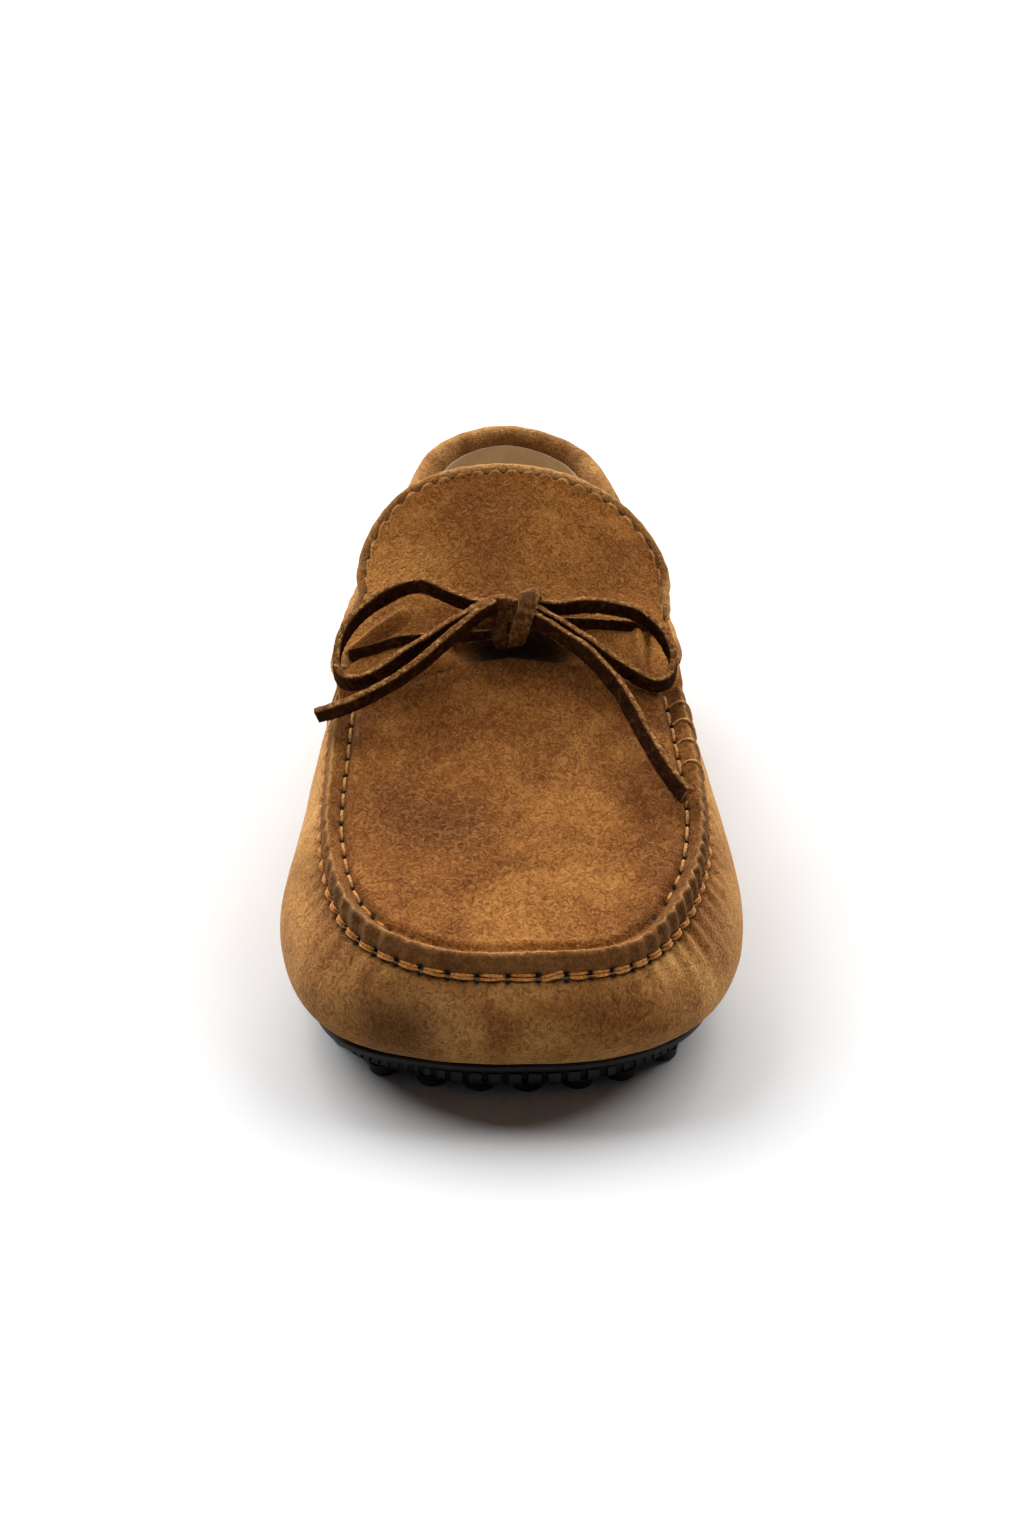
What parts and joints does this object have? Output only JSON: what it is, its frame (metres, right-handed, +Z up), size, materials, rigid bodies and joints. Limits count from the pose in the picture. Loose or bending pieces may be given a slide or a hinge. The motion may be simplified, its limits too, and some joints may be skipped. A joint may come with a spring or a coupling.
{
  "type": "moccasin",
  "caption": "Right suede driving moccasin with a raised hand-sewn apron seam, rubber nub sole, padded laced collar, a flat bow and a wide tongue that flexes.",
  "frame": {"origin": "middle of the footprint box, on the ground under the nubs", "axes": "+Z up, toe towards -Y, heel towards +Y, +X to the inner side of the right foot"},
  "size_m": [0.1168, 0.2824, 0.0983],
  "materials": {
    "suede": "brushed suede nap, matt",
    "suede_trim": "brushed suede, rolled and slightly darker",
    "lining": "smooth matt lining",
    "thread": "waxed twisted thread",
    "rawhide": "dark rawhide with paler cut edges",
    "sole_rubber": "moulded, satin",
    "foam": "soft foam",
    "board": "pressed fibre board"
  },
  "bodies": {
    "root": {"forefoot_sole": "sole_rubber", "heel_sole": "sole_rubber", "bottom_leather": "suede", "insole_board": "board", "footbed_foam": "foam", "sock_liner": "lining", "vamp": "suede", "quarter_medial": "suede", "quarter_lateral": "suede", "back_strap": "suede_trim", "heel_counter": "board", "vamp_lining": "lining", "quarter_lining": "lining", "apron": "suede", "seam_thread_outer": "thread", "seam_thread_inner": "thread", "seam_end_medial": "suede", "seam_end_lateral": "suede", "collar_roll": "suede_trim", "collar_foam": "foam", "collar_lace": "rawhide", "collar_thread": "thread", "heel_thread": "thread", "tongue_base": "suede", "tongue_base_lining": "lining", "gusset_medial": "suede", "gusset_lateral": "suede", "bow_loop_left": "rawhide", "bow_loop_right": "rawhide", "lace_tail_left": "rawhide", "lace_tail_right": "rawhide", "lace_knot": "rawhide"},
    "tongue_flap": {"tongue": "suede", "tongue_lining": "lining", "tongue_binding": "suede_trim", "tongue_thread": "thread"}
  },
  "joints": [
    {"name": "tongue_flex", "type": "hinge", "parent": "root", "child": "tongue_flap", "pos_m": [0, 0.00022, 0.0777], "axis": [1, 0, 0], "range_deg": [-2, 35]}
  ]
}
